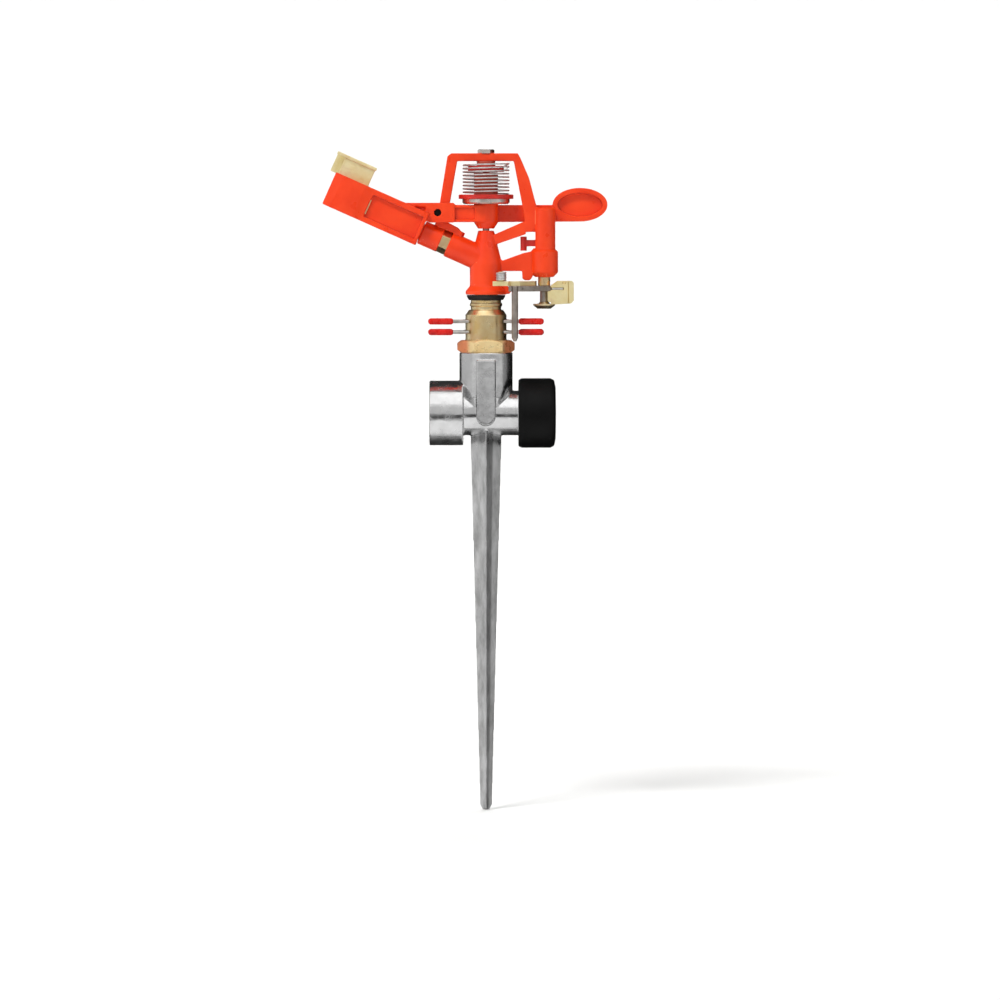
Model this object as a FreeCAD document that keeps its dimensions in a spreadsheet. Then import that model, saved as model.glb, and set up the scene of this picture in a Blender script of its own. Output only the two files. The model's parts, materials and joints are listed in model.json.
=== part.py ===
import FreeCAD, Part
import os
import re

import Sketcher

from FreeCAD import Rotation, Vector

# Impact sprinkler on a ground spike. Z is up, the spike's tip is the origin, the riser's axis
# is Z and the hose line runs along X. The nozzle points to -X, raised by barrel_tilt.
# Lengths are in millimetres and angles in degrees.
DIMENSIONS = {
    # ground spike and tee, one casting
    "spike_top_width": 15.2,
    "spike_low_width": 5.6,
    "spike_point_width": 3.2,
    "spike_point_height": 2.4,
    "spike_flank": 0.62,
    "spike_top": 186.0,
    "tee_height": 190.6,
    "tube_radius": 10.6,
    "tube_end": 15.8,
    "boss_radius": 15.4,
    "boss_face": 27.0,
    "boss_back": 11.0,
    "inlet_bore_radius": 13.0,
    "inlet_bore_depth": 11.5,
    "inlet_groove_radius": 13.6,
    "water_bore_radius": 7.5,
    "outlet_thread_radius": 13.2,
    "outlet_end": 28.6,
    "socket_radius": 12.65,
    "socket_top": 219.6,
    "socket_foot": 186.0,
    "socket_thread_radius": 10.45,
    "socket_thread_low": 206.0,
    "label_width": 8.6,
    "label_face": 13.3,
    "label_top": 216.0,
    "label_low": 189.3,
    "washer_thickness": 2.0,
    "washer_radius": 13.5,
    # end cap
    "cap_radius": 16.6,
    "cap_front": 15.6,
    "cap_back": 33.5,
    "cap_wall": 3.1,
    "cap_bore_radius": 13.4,
    "cap_washer_thickness": 1.5,
    "cap_washer_radius": 13.2,
    # brass bearing nipple
    "nipple_low": 206.5,
    "nipple_thread_radius": 10.4,
    "nipple_hex_flats": 24.0,
    "nipple_hex_top": 225.5,
    "nipple_radius": 9.8,
    "nipple_shoulder": 237.6,
    "nipple_cone_top": 240.0,
    "nipple_cone_radius": 8.2,
    "nipple_neck_radius": 7.2,
    "nipple_bead_radius": 7.75,
    "nipple_top": 244.8,
    "nipple_bore_radius": 7.6,
    "nipple_bore_top": 236.0,
    "neck_bore_radius": 5.68,
    "seal_top": 247.1,
    "seal_low_radius": 8.2,
    "seal_radius": 9.2,
    "seal_bore_radius": 5.9,
    # bearing sleeve and what it carries inside the nipple
    "sleeve_low": 222.0,
    "sleeve_top": 258.0,
    "sleeve_radius": 5.6,
    "sleeve_bore_radius": 4.0,
    "sleeve_flange_radius": 7.2,
    "sleeve_flange_thickness": 2.4,
    "sleeve_washer_thickness": 1.3,
    "pressure_coil_radius": 6.55,
    "pressure_wire": 0.8,
    "pressure_turns": 4,
    # part-circle stop clips
    "clip_wire": 1.7,
    "clip_ring_radius": 10.75,
    "clip_bend": 8.6,
    "clip_reach": 26.9,
    "clip_upper_height": 234.6,
    "clip_lower_height": 229.5,
    "tip_start": 15.5,
    "tip_end": 27.7,
    "tip_diameter": 3.0,
    # head casting
    "head_low": 247.4,
    "head_flare_radius": 9.7,
    "head_radius": 7.7,
    "head_cone_low": 262.0,
    "head_cone_radius": 3.75,
    "head_top": 277.9,
    "web_half": 3.0,
    "barrel_height": 263.5,
    "barrel_tilt": 24.0,
    "barrel_radius": 6.1,
    "barrel_end": 19.6,
    "nozzle_nut_end": 23.9,
    "nozzle_block_radius": 5.7,
    "nozzle_block_end": 33.7,
    "nozzle_nut_flats": 9.6,
    "nozzle_radius": 4.3,
    "nozzle_tip": 35.4,
    "nozzle_start": 15.0,
    "nozzle_mouth_radius": 2.2,
    "bridge_low": 311.3,
    "bridge_top": 314.9,
    "post_place": 27.85,
    "post_radius": 5.3,
    "post_top": 289.0,
    "post_low": 268.8,
    "housing_radius": 6.6,
    "housing_low": 255.8,
    "housing_chamfer": 2.2,
    "pin_radius": 1.6,
    "pin_low": 270.0,
    "pin_nut_top": 316.8,
    "pin_nut_flats": 7.0,
    # spring tower under the bridge
    "ring_radius": 8.6,
    "ring_low": 306.1,
    "ring_top": 308.9,
    "ring_boss_radius": 4.4,
    "ring_notches": 10,
    "spool_flange_radius": 13.1,
    "spool_flange_low": 293.2,
    "spool_flange_top": 295.2,
    "spool_sleeve_radius": 5.7,
    "spool_top": 305.8,
    "spool_spigot_radius": 4.0,
    "cup_radius": 11.3,
    "arm_spring_radius": 10.9,
    "arm_spring_wire": 0.7,
    "arm_spring_turns": 9,
    "arm_spring_top": 310.4,
    # impact arm
    "arm_clearance": 0.3,
    "arm_bar_low": 282.1,
    "arm_bar_top": 290.2,
    "arm_bar_rim": 1.2,
    "arm_bar_depth": 2.8,
    "arm_web_depth": 1.4,
    "arm_hub_radius": 5.8,
    "arm_hub_top": 290.7,
    "arm_hub_low": 279.0,
    "arm_hub_low_radius": 3.8,
    "arm_bore_radius": 2.7,
    "arm_running_gap": 0.08,
    "boss_depth": 3.8,
    "cross_hole_place": 23.1,
    "cross_hole_height": 286.6,
    "cross_hole_radius": 1.8,
    "trough_start": 34.0,
    "trough_end": 82.5,
    "trough_low": 6.8,
    "trough_high": 9.6,
    "trough_rim": 2.5,
    "trough_web_front": 7.9,
    "trough_web_back": 6.2,
    "trough_rim_front": 10.2,
    "trough_rim_back": 5.0,
    "block_start": 62.0,
    "block_front": 11.6,
    "dish_place": 45.1,
    "dish_height": 290.4,
    "dish_half_length": 13.1,
    "dish_half_height": 8.0,
    "dish_rim": 2.3,
    "dish_back": 8.0,
    "dish_floor": 6.2,
    # brass drive vane
    "vane_root_start": 60.9,
    "vane_start": 66.0,
    "vane_end": 85.4,
    "vane_low": 5.4,
    "vane_high": 19.2,
    "vane_sheet": 1.5,
    "vane_root": 4.6,
    "vane_turn_out": 6.4,
    "vane_rim": 1.4,
    # reversing trip under the post
    "shaft_radius": 1.5,
    "shaft_low": 240.6,
    "shaft_top": 277.0,
    "bush_radius": 2.9,
    "bush_low": 251.7,
    "lever_low": 249.0,
    "lever_top": 251.6,
    "lever_front": 14.4,
    "lever_back": 10.9,
    "link_top": 253.8,
    "stud_place": 7.3,
    "stud_front": 12.6,
    "stud_radius": 1.3,
    "stud_top": 258.4,
    "toggle_coil_radius": 2.2,
    "toggle_wire": 0.7,
    "toggle_turns": 5,
    "spacer_radius": 2.0,
    "spacer_low": 243.8,
    "trip_washer_radius": 5.2,
    "trip_washer_low": 240.4,
    "weight_near": 29.5,
    "weight_far": 42.0,
    "weight_half": 4.2,
    "weight_slot_low": 249.6,
    "leg_wire": 1.2,
    "leg_end": 36.8,
    "latch_low": 270.5,
    "latch_top": 273.5,
    "latch_reach": 18.0,
    "latch_rod_radius": 1.5,
    "trip_pin_place": 13.8,
    "trip_pin_front": 13.0,
    "trip_pin_radius": 1.5,
    "trip_pin_low": 225.2,
    "trip_pin_top": 251.4,
    "trip_pin_pivot": 250.2,
    "trip_axle_radius": 0.6,
    "fork_gap": 0.08,
}

doc = FreeCAD.newDocument("impact_sprinkler")
sheet = doc.addObject("Spreadsheet::Sheet", "Dims")
sub_parts = []


def fill_sheet():
    """One row for each driving dimension: its name, and its value under that alias."""
    for row, (name, value) in enumerate(DIMENSIONS.items(), start=1):
        sheet.set(f"A{row}", name)
        sheet.set(f"B{row}", str(value))
        sheet.setAlias(f"B{row}", name)
    doc.recompute()


def formula(text):
    """The text with each dimension's name pointed at the sheet."""
    return re.sub(r"\b([a-z][a-z_]+)\b(?!\()", r"Dims.\1", str(text))


def value(text):
    """What a formula comes to, as a plain number."""
    found = sheet.evalExpression(formula(text))
    return float(getattr(found, "Value", found))


def bind(thing, **sizes):
    for name, text in sizes.items():
        thing.setExpression(name, formula(text))


def keep(thing, name):
    """Marks an object as a finished sub-part."""
    thing.Label = name
    sub_parts.append(thing)
    return thing


# ---- sketches and PartDesign features ------------------------------------------------------


def new_body(name):
    return doc.addObject("PartDesign::Body", name)


def origin_plane(body, role):
    return next(o for o in body.Origin.OriginFeatures if o.Role == role)


def new_sketch(body, role, offset="0"):
    sketch = body.newObject("Sketcher::SketchObject", "outline")
    sketch.AttachmentSupport = [(origin_plane(body, role), "")]
    sketch.MapMode = "FlatFace"
    if offset != "0":
        sketch.setExpression(".AttachmentOffset.Base.z", formula(offset))
    return sketch


def hold(sketch, point, texts):
    """Holds a sketch point at two formulas, counted from the sketch's origin."""
    for kind, axis, text in zip(("DistanceX", "DistanceY"), (-2, -1), texts):
        size = value(text)
        if abs(size) < 1e-9:
            sketch.addConstraint(Sketcher.Constraint("PointOnObject", *point, axis))
            continue
        at = sketch.addConstraint(Sketcher.Constraint(kind, -1, 1, *point, size))
        sketch.setExpression(f"Constraints[{at}]", formula(text))


def draw_polygon(sketch, corners):
    """A closed outline of straight edges; each corner is a pair of formulas."""
    points = [Vector(value(across), value(up), 0) for across, up in corners]
    count = len(points)
    for at, point in enumerate(points):
        sketch.addGeometry(Part.LineSegment(point, points[(at + 1) % count]), False)
    for at, corner in enumerate(corners):
        sketch.addConstraint(Sketcher.Constraint("Coincident", at, 1, (at - 1) % count, 2))
        hold(sketch, (at, 1), corner)


def draw_circle(sketch, radius, across="0", up="0"):
    centre = Vector(value(across), value(up), 0)
    edge = sketch.addGeometry(Part.Circle(centre, Vector(0, 0, 1), value(radius)), False)
    hold(sketch, (edge, 3), (across, up))
    at = sketch.addConstraint(Sketcher.Constraint("Radius", edge, value(radius)))
    sketch.setExpression(f"Constraints[{at}]", formula(radius))


def draw(sketch, shape):
    """Draws a list of corners, or a circle given as a dictionary."""
    if isinstance(shape, dict):
        draw_circle(sketch, **shape)
    else:
        draw_polygon(sketch, shape)


def volume(body):
    doc.recompute()
    return body.Shape.Volume if body.Tip else 0.0


def pad(body, role, shape, low, high):
    """Adds a slab of the shape between two heights along the plane's own row axis."""
    start = f"-({high})" if role == "XZ_Plane" else low
    sketch = new_sketch(body, role, start)
    draw(sketch, shape)
    feature = body.newObject("PartDesign::Pad", "pad")
    feature.Profile = sketch
    bind(feature, Length=f"({high})-({low})")
    doc.recompute()
    return feature


def pocket(body, role, shape, low, high):
    """Cuts a slab of the shape between two heights along the plane's own row axis."""
    before = volume(body)
    start = f"-({low})" if role == "XZ_Plane" else high
    sketch = new_sketch(body, role, start)
    draw(sketch, shape)
    feature = body.newObject("PartDesign::Pocket", "pocket")
    feature.Profile = sketch
    bind(feature, Length=f"({high})-({low})")
    if volume(body) >= before:
        raise ValueError(f"{body.Name}: {feature.Name} cuts nothing")
    return feature


def turn(body, corners, axis="V_Axis", role="XZ_Plane"):
    """Adds the solid that the corners sweep about one of the sketch's axes."""
    sketch = new_sketch(body, role)
    draw(sketch, corners)
    feature = body.newObject("PartDesign::Revolution", "turned")
    feature.Profile = sketch
    feature.ReferenceAxis = (sketch, [axis])
    feature.Angle = 360
    doc.recompute()
    return feature


def groove(body, corners, axis="V_Axis"):
    """Turns the swept corners out of the body."""
    before = volume(body)
    sketch = new_sketch(body, "XZ_Plane")
    draw(sketch, corners)
    feature = body.newObject("PartDesign::Groove", "groove")
    feature.Profile = sketch
    feature.ReferenceAxis = (sketch, [axis])
    feature.Angle = 360
    if volume(body) >= before:
        raise ValueError(f"{body.Name}: {feature.Name} cuts nothing")
    return feature


def tube(low, high, outer, bore):
    """A plain tube's section, as corners in radius and height."""
    return [(bore, low), (outer, low), (outer, high), (bore, high)]


def turned_part(name, corners):
    body = new_body(name)
    turn(body, corners)
    return keep(body, name)


def hexagon(flats, turned_by=0):
    """A hexagon's corners from its width across flats."""
    angles = [turned_by + 60 * corner for corner in range(6)]
    return [(f"{flats}/sqrt(3)*cos({angle})", f"{flats}/sqrt(3)*sin({angle})") for angle in angles]


def chamfer_hex(body, flats, low, high):
    """The turned chamfers on both ends of a hexagon."""
    for end, inward in ((low, 1), (high, -1)):
        drop = f"{end}+({inward})*{flats}*0.09"
        groove(body, [(f"{flats}/2", end), (f"{flats}*0.62", end), (f"{flats}*0.62", drop)])


def on_axis(thing, height, tilt):
    """Lays a body's own Z along X: tilted up from -X by tilt, or straight along +X at 90."""
    thing.setExpression(
        "Placement",
        f"placement(vector(0; 0; {formula(height)}); rotation(vector(0; 1; 0); {formula(tilt)}))",
    )


def in_jet_frame(thing):
    """Turns a body so that its own +X is the jet, its +Z is square to it and upward."""
    half = f"{formula('barrel_tilt')}/2"
    thing.setExpression(
        "Placement",
        f"placement(vector(0; 0; {formula('barrel_height')});"
        f" rotation(vector(sin({half}); 0; cos({half})); 180))",
    )


# ---- Part booleans and coils ---------------------------------------------------------------


def fuse(name, things):
    joined = doc.addObject("Part::MultiFuse", name)
    joined.Shapes = things
    doc.recompute()
    return joined


def cut(name, base, tool):
    carved = doc.addObject("Part::Cut", name)
    carved.Base = base
    carved.Tool = tool
    doc.recompute()
    if carved.Shape.Volume >= base.Shape.Volume:
        raise ValueError(f"{name}: {tool.Name} cuts nothing")
    return carved


def coil(name, radius, wire, low, high, turns, across="0", along="0"):
    """A round-wire helix standing between two heights, with its ends' wire inside them."""
    helix = doc.addObject("Part::Helix", f"{name}_path")
    rise = f"(({high})-({low})-{wire})"
    bind(helix, Radius=radius, Height=rise, Pitch=f"{rise}/{turns}")
    section = doc.addObject("Part::Circle", f"{name}_wire")
    bind(section, Radius=f"{wire}/2")
    section.Placement.Rotation = Rotation(Vector(1, 0, 0), 90)
    section.setExpression(".Placement.Base.x", formula(radius))
    sweep = doc.addObject("Part::Sweep", name)
    sweep.Sections = [section]
    sweep.Spine = (helix, ["Edge1"])
    sweep.Solid = True
    sweep.Frenet = True
    for axis, text in zip("xyz", (across, along, f"({low})+{wire}/2")):
        sweep.setExpression(f".Placement.Base.{axis}", formula(text))
    doc.recompute()
    return keep(sweep, name)


# ---- ground spike, tee and what screws into it ---------------------------------------------


def star(width):
    """Four ribs with hollow flanks: eight corners, the odd ones drawn in."""
    reach = [f"({width})/2", f"({width})/2*spike_flank"] * 4
    return [(f"{r}*cos({45 * k})", f"{r}*sin({45 * k})") for k, r in enumerate(reach)]


def spike():
    """The tapering star, lofted through its point, its shoulder and its top."""
    body = new_body("spike_star")
    widths = (("0", "spike_point_width"), ("spike_point_height", "spike_low_width"),
              ("spike_top", "spike_top_width"))
    sections = []
    for height, width in widths:
        sketch = new_sketch(body, "XY_Plane", height)
        draw(sketch, star(width))
        sections.append(sketch)
    loft = body.newObject("PartDesign::AdditiveLoft", "taper")
    loft.Profile = sections[0]
    loft.Sections = sections[1:]
    loft.Ruled = True
    doc.recompute()
    return body


def tee():
    body = new_body("tee")
    at_tee = {"up": "tee_height"}
    pad(body, "YZ_Plane", {"radius": "tube_radius", **at_tee}, "-boss_back-1", "tube_end")
    pad(body, "YZ_Plane", {"radius": "boss_radius", **at_tee}, "-boss_face", "-boss_back")
    pad(body, "YZ_Plane", {"radius": "outlet_thread_radius", **at_tee}, "tube_end", "outlet_end")
    turn(body, [("0", "socket_foot"), ("socket_radius*0.4", "socket_foot"),
                ("socket_radius*0.8", "socket_foot+4"), ("socket_radius", "socket_foot+12"),
                ("socket_radius", "socket_top"), ("0", "socket_top")])
    pad(body, "XZ_Plane", {"radius": "label_width/2", "up": "label_low"}, "-label_face", "-5")
    half = "label_width/2"
    pad(body, "XZ_Plane", [(f"-{half}", "label_low"), (half, "label_low"), (half, "label_top"),
                           (f"-{half}", "label_top")], "-label_face", "-5")
    return body


def tee_bores():
    """The water way: hose socket, cross bore and the riser socket's thread."""
    body = new_body("tee_bores")
    at_tee = {"up": "tee_height"}
    bore_end = "-boss_face+inlet_bore_depth"
    pad(body, "YZ_Plane", {"radius": "inlet_bore_radius", **at_tee}, "-boss_face-1", bore_end)
    pad(body, "YZ_Plane", {"radius": "inlet_groove_radius", **at_tee},
        f"{bore_end}-washer_thickness", bore_end)
    pad(body, "YZ_Plane", {"radius": "water_bore_radius", **at_tee}, f"{bore_end}-1",
        "outlet_end+1")
    pad(body, "XY_Plane", {"radius": "water_bore_radius"}, "tee_height", "socket_top")
    pad(body, "XY_Plane", {"radius": "socket_thread_radius"}, "socket_thread_low",
        "socket_top+1")
    return body


def make_spike_body():
    solid = fuse("spike_and_tee", [spike(), tee()])
    keep(cut("spike_casting", solid, tee_bores()), "spike_body")


def make_inlet_washer():
    body = turned_part("inlet_washer", tube("-boss_face+inlet_bore_depth-washer_thickness",
                                            "-boss_face+inlet_bore_depth", "washer_radius",
                                            "water_bore_radius"))
    on_axis(body, "tee_height", "90")


def make_end_cap():
    """Cap with a crowned face, a rounded skirt and ribs to grip."""
    body = turned_part("end_cap", [
        ("0", "cap_back-cap_wall"), ("cap_bore_radius", "cap_back-cap_wall"),
        ("cap_bore_radius", "cap_front"), ("cap_radius-0.8", "cap_front"),
        ("cap_radius", "cap_front+1.4"), ("cap_radius", "cap_back-2.6"),
        ("cap_radius-0.9", "cap_back-0.9"), ("cap_radius*0.74", "cap_back-0.2"),
        ("0", "cap_back")])
    on_axis(body, "tee_height", "90")


def make_cap_washer():
    body = turned_part("cap_washer", tube("cap_back-cap_wall-cap_washer_thickness",
                                          "cap_back-cap_wall", "cap_washer_radius",
                                          "water_bore_radius"))
    on_axis(body, "tee_height", "90")


def make_bearing_nipple():
    body = new_body("bearing_nipple")
    turn(body, [
        ("nipple_bore_radius", "nipple_low"), ("nipple_thread_radius", "nipple_low"),
        ("nipple_thread_radius", "socket_top"), ("nipple_radius", "socket_top"),
        ("nipple_radius", "nipple_shoulder"), ("nipple_cone_radius", "nipple_cone_top"),
        ("nipple_neck_radius", "nipple_cone_top"), ("nipple_neck_radius", "nipple_cone_top+1.6"),
        ("nipple_bead_radius", "nipple_cone_top+2.1"),
        ("nipple_bead_radius", "nipple_cone_top+3"),
        ("nipple_neck_radius", "nipple_cone_top+3.5"), ("nipple_neck_radius", "nipple_top"),
        ("neck_bore_radius", "nipple_top"), ("neck_bore_radius", "nipple_bore_top"),
        ("nipple_bore_radius", "nipple_bore_top")])
    pad(body, "XY_Plane", hexagon("nipple_hex_flats", 5), "socket_top", "nipple_hex_top")
    chamfer_hex(body, "nipple_hex_flats", "socket_top", "nipple_hex_top")
    pocket(body, "XY_Plane", {"radius": "nipple_bore_radius"}, "nipple_low",
           "nipple_bore_top")
    keep(body, "bearing_nipple")


def make_top_seal():
    turned_part("top_seal", [("seal_bore_radius", "nipple_top"), ("seal_low_radius", "nipple_top"),
                             ("seal_radius", "seal_top-0.6"), ("seal_radius", "seal_top"),
                             ("seal_bore_radius", "seal_top")])


# ---- stop clips ----------------------------------------------------------------------------


def make_clip(name, height):
    """A wire ring behind the nipple, open at the front, whose ends point out along X."""
    body = new_body(f"{name}_wire")
    path = new_sketch(body, "XY_Plane", height)
    ring = value("clip_ring_radius")
    bend = value("clip_bend")
    reach = value("clip_reach")
    front = -((ring**2 - bend**2) ** 0.5)
    centre = Part.Circle(Vector(0, 0, 0), Vector(0, 0, 1), ring)
    start = centre.parameter(Vector(bend, front, 0))
    end = centre.parameter(Vector(-bend, front, 0))
    path.addGeometry(Part.LineSegment(Vector(reach, front, 0), Vector(bend, front, 0)), False)
    path.addGeometry(Part.ArcOfCircle(centre, start - 6.283185307, end), False)
    path.addGeometry(Part.LineSegment(Vector(-bend, front, 0), Vector(-reach, front, 0)), False)
    path.addConstraint(Sketcher.Constraint("Coincident", 0, 2, 1, 1))
    path.addConstraint(Sketcher.Constraint("Coincident", 1, 2, 2, 1))
    path.addConstraint(Sketcher.Constraint("Coincident", 1, 3, -1, 1))
    path.addConstraint(Sketcher.Constraint("Horizontal", 0))
    path.addConstraint(Sketcher.Constraint("Horizontal", 2))
    sizes = (("Radius", (1,), "clip_ring_radius"),
             ("DistanceX", (-1, 1, 0, 2), "clip_bend"), ("DistanceX", (-1, 1, 0, 1), "clip_reach"),
             ("DistanceX", (-1, 1, 1, 2), "-clip_bend"),
             ("DistanceX", (-1, 1, 2, 2), "-clip_reach"))
    for kind, where, text in sizes:
        at = path.addConstraint(Sketcher.Constraint(kind, *where, value(text)))
        path.setExpression(f"Constraints[{at}]", formula(text))
    section = new_sketch(body, "YZ_Plane", "clip_reach")
    draw_circle(section, "clip_wire/2", "-sqrt(clip_ring_radius^2-clip_bend^2)", height)
    pipe = body.newObject("PartDesign::AdditivePipe", "bent_wire")
    pipe.Profile = section
    pipe.Spine = (path, [])
    pipe.Transition = "Round corner"
    doc.recompute()
    keep(body, f"{name}_wire")
    make_clip_tips(f"{name}_tips", height)


def make_clip_tips(name, height):
    """The two vinyl tips: blind sleeves on the ends of the wire."""
    line = "-sqrt(clip_ring_radius^2-clip_bend^2)"
    sleeves = []
    for side, low, high in ((1, "tip_start", "tip_end"), (-1, "-tip_end", "-tip_start")):
        body = new_body(f"{name}_sleeve")
        spot = {"across": line, "up": height}
        pad(body, "YZ_Plane", {"radius": "tip_diameter/2", **spot}, low, high)
        inner = ("tip_start", "clip_reach+0.05") if side > 0 else ("-clip_reach-0.05",
                                                                   "-tip_start")
        pocket(body, "YZ_Plane", {"radius": "clip_wire/2+0.02", **spot}, *inner)
        sleeves.append(body)
    keep(fuse(name, sleeves), name)


# ---- turning head --------------------------------------------------------------------------


def head_tower():
    """Tower, bridge, post and webs, drawn in the plane of the post."""
    body = new_body("head_tower")
    turn(body, [("0", "head_low"), ("head_flare_radius", "head_low"),
                ("head_flare_radius", "head_low+1.6"), ("head_radius", "head_low+4.1"),
                ("head_radius", "head_cone_low"), ("head_cone_radius", "head_top"),
                ("0", "head_top")])
    flat = ("-web_half", "web_half")
    bridge_bar = [("-18.1", "bridge_low"), ("13.4", "bridge_low"), ("16.5", "bridge_low+1.2"),
                  ("15.2", "bridge_top"), ("-16.6", "bridge_top"), ("-18.4", "bridge_top-1.4")]
    left_leg = [("-18.4", "bridge_top-1.4"), ("-22", "291.5"), ("-24.4", "280.6"),
                ("-19.2", "279"), ("-17.3", "291.4"), ("-13.8", "bridge_low")]
    right_leg = [("13.3", "bridge_low"), ("16.5", "bridge_low+1.2"), ("20.6", "303"),
                 ("23.6", "291.5"), ("25", "post_top-1"), ("25", "282"), ("18.6", "283"),
                 ("17.3", "291")]
    strut = [("2.4", "270.6"), ("22.6", "277.6"), ("24", "283"), ("18.4", "282.4"),
             ("3", "275.6")]
    lower_arm = [("4", "258.7"), ("24", "258.7"), ("24", "268.4"), ("18", "267.2"),
                 ("8", "263.6"), ("4", "266.5")]
    foot_lug = [("17.3", "259.5"), ("17.5", "255"), ("18.6", "254.3"), ("20.8", "254.3"),
                ("21.8", "255.2"), ("24", "259.5")]
    stop_lug = [("5", "254"), ("9", "252.4"), ("12.5", "249.6"), ("11.2", "247.8"),
                ("5", "head_low")]
    for outline in (bridge_bar, left_leg, right_leg, strut, lower_arm, foot_lug, stop_lug):
        pad(body, "XZ_Plane", outline, *flat)
    return body


def head_post():
    """The post and the trip housing below it, round about the trip's shaft."""
    body = new_body("head_post")
    turn(body, [("0", "housing_low"), ("housing_radius-housing_chamfer", "housing_low"),
                ("housing_radius", "housing_low+housing_chamfer"),
                ("housing_radius", "post_low-1"), ("housing_radius-1", "post_low"),
                ("post_radius", "post_low"), ("post_radius", "post_top-0.8"),
                ("post_radius-0.8", "post_top"), ("0", "post_top")])
    body.setExpression(".Placement.Base.x", formula("post_place"))
    return body


def head_barrel():
    """Barrel, nozzle block and the webs that carry the block past the nut's window."""
    body = new_body("head_barrel")
    turn(body, [("0", "0"), ("0", "barrel_radius"), ("barrel_end", "barrel_radius"),
                ("barrel_end", "0")], axis="H_Axis")
    turn(body, [("nozzle_nut_end", "0"), ("nozzle_nut_end", "nozzle_block_radius"),
                ("nozzle_block_end-0.3", "nozzle_block_radius"),
                ("nozzle_block_end", "nozzle_block_radius-0.3"), ("nozzle_block_end", "0")],
         axis="H_Axis")
    rear = ("-7.4", "-nozzle_nut_flats/2-0.3")
    window = [("barrel_end-5", "-4"), ("nozzle_nut_end+4", "-4"), ("nozzle_nut_end+4", "8"),
              ("barrel_end-5", "8")]
    pad(body, "XZ_Plane", window, *rear)
    top_web = [("barrel_end-4", "5.9"), ("nozzle_nut_end+4", "5.6"), ("nozzle_nut_end+3", "9.5"),
               ("barrel_end-1", "9"), ("barrel_end-4", "7.6")]
    pad(body, "XZ_Plane", top_web, "-web_half-2.4", "web_half")
    in_jet_frame(body)
    return body


def head_cavities():
    """Water way up the tower, pin bore, bore of the trip's shaft and the latch's pocket."""
    body = new_body("head_cavities")
    pad(body, "XY_Plane", {"radius": "sleeve_radius"}, "head_low-1", "sleeve_top")
    pad(body, "XY_Plane", {"radius": "nozzle_radius"}, "sleeve_top-1", "barrel_height+1")
    pad(body, "XY_Plane", {"radius": "pin_radius"}, "pin_low", "pin_nut_top")
    shaft = {"radius": "shaft_radius+0.06", "across": "post_place"}
    pad(body, "XY_Plane", shaft, "housing_low-1", "shaft_top+0.2")
    latch_room = [("19", "-3"), ("31.3", "-3"), ("31.3", "8"), ("19", "8")]
    pad(body, "XY_Plane", latch_room, "latch_low-1", "shaft_top+0.4")
    arm_room = [("19", "web_half"), ("36", "web_half"), ("36", "9"), ("19", "9")]
    pad(body, "XY_Plane", arm_room, "arm_bar_low-1.1", "post_top+2")
    return body


def jet_bore():
    body = new_body("jet_bore")
    turn(body, [("0", "0"), ("0", "nozzle_radius"), ("nozzle_block_end+1", "nozzle_radius"),
                ("nozzle_block_end+1", "0")], axis="H_Axis")
    in_jet_frame(body)
    return body


def make_head_casting():
    solid = fuse("head_solid", [head_tower(), head_post(), head_barrel()])
    cavities = fuse("head_cavity_set", [head_cavities(), jet_bore()])
    keep(cut("head_casting", solid, cavities), "head_casting")


def make_bearing_sleeve():
    flange_top = "sleeve_low+sleeve_flange_thickness"
    turned_part("bearing_sleeve", [
        ("sleeve_bore_radius", "sleeve_low"), ("sleeve_flange_radius", "sleeve_low"),
        ("sleeve_flange_radius", flange_top), ("sleeve_radius", flange_top),
        ("sleeve_radius", "sleeve_top"), ("sleeve_bore_radius", "sleeve_top")])


def make_sleeve_washer():
    top = "nipple_bore_top-0.1"
    turned_part("sleeve_washer", tube(f"{top}-sleeve_washer_thickness", top,
                                      "sleeve_flange_radius", "sleeve_radius"))


def make_pressure_spring():
    coil("pressure_spring", "pressure_coil_radius", "pressure_wire",
         "sleeve_low+sleeve_flange_thickness", "nipple_bore_top-0.1-sleeve_washer_thickness",
         "pressure_turns")


def make_nozzle():
    """Brass tube that narrows to the jet's mouth."""
    body = new_body("nozzle")
    wall = "nozzle_radius-1.2"
    turn(body, [("nozzle_start", wall), ("nozzle_start", "nozzle_radius"),
                ("nozzle_tip-2.2", "nozzle_radius"), ("nozzle_tip", "nozzle_radius-0.8"),
                ("nozzle_tip", "nozzle_mouth_radius"),
                ("nozzle_tip-5", "nozzle_mouth_radius"), ("nozzle_tip-9", wall)],
         axis="H_Axis")
    in_jet_frame(body)
    keep(body, "nozzle")


def make_nozzle_nut():
    body = new_body("nozzle_nut")
    pad(body, "YZ_Plane", hexagon("nozzle_nut_flats", 30), "barrel_end", "nozzle_nut_end")
    pocket(body, "YZ_Plane", {"radius": "nozzle_radius"}, "barrel_end", "nozzle_nut_end")
    in_jet_frame(body)
    keep(body, "nozzle_nut")


def make_fulcrum_pin():
    turned_part("fulcrum_pin", [("0", "pin_low"), ("pin_radius", "pin_low"),
                                ("pin_radius", "bridge_top+1.6"),
                                ("pin_radius-0.3", "pin_nut_top-0.1"),
                                ("0", "pin_nut_top-0.1")])


def make_pin_nut():
    body = new_body("pin_nut")
    pad(body, "XY_Plane", hexagon("pin_nut_flats"), "bridge_top", "pin_nut_top")
    chamfer_hex(body, "pin_nut_flats", "bridge_top-0.3", "pin_nut_top")
    pocket(body, "XY_Plane", {"radius": "pin_radius"}, "bridge_top", "pin_nut_top")
    keep(body, "pin_nut")


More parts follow.
